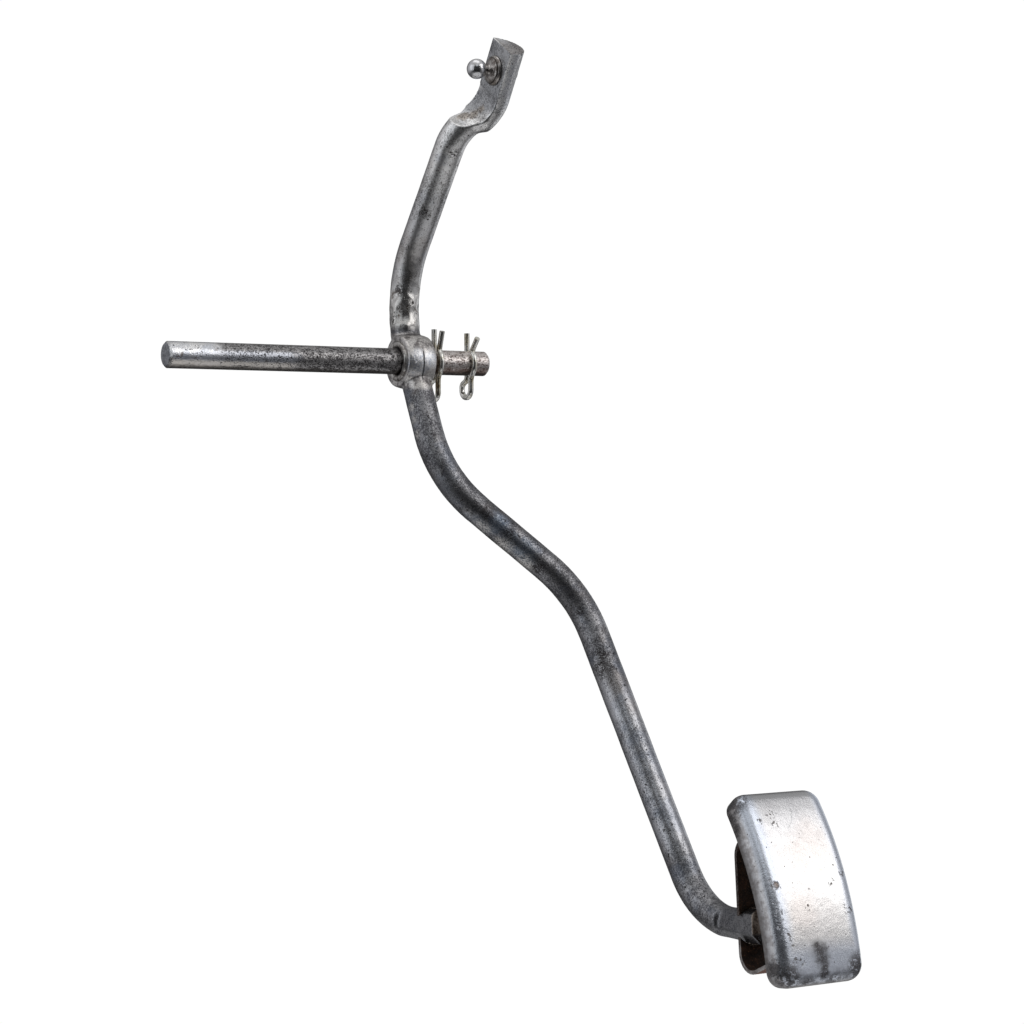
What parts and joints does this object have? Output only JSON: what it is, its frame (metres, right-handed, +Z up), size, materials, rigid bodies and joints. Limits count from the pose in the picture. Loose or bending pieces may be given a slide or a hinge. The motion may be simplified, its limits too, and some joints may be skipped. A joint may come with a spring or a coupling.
{
  "type": "accelerator pedal",
  "caption": "Hanging accelerator pedal: a bent forged lever on a plain cross shaft, with a linkage ball at the top and a crowned steel pad below.",
  "frame": {"origin": "on the pivot axis, at the shaft shoulder where the left end of the bush rests", "axes": "+X along the cross shaft to the right, +Y away from the driver, +Z up"},
  "size_m": [0.2469, 0.2191, 0.4338],
  "materials": {
    "lever_steel": "worn, mottled forged steel",
    "bush_steel": "worn satin steel",
    "shaft_steel": "dark mottled steel with a polished free end",
    "clip_wire": "bright plated spring wire",
    "ball_steel": "polished, tarnished at the collar",
    "pad_steel": "cloudy polished steel, pitted and stained at the edges",
    "bracket_steel": "rusted bare steel strap with bright edges",
    "weld_metal": "rough weld bead"
  },
  "bodies": {
    "shaft": {"pivot_shaft": "shaft_steel", "inner_clip": "clip_wire", "outer_clip": "clip_wire"},
    "lever": {"lever_arm": "lever_steel", "pivot_bush": "bush_steel", "ball_stud": "ball_steel", "pad_plate": "pad_steel", "pad_bracket": "bracket_steel", "arm_weld": "weld_metal"}
  },
  "joints": [
    {"name": "pedal_pivot", "type": "hinge", "parent": "shaft", "child": "lever", "pos_m": [0, 0, 0], "axis": [1, 0, 0], "range_deg": [0, 20]}
  ]
}
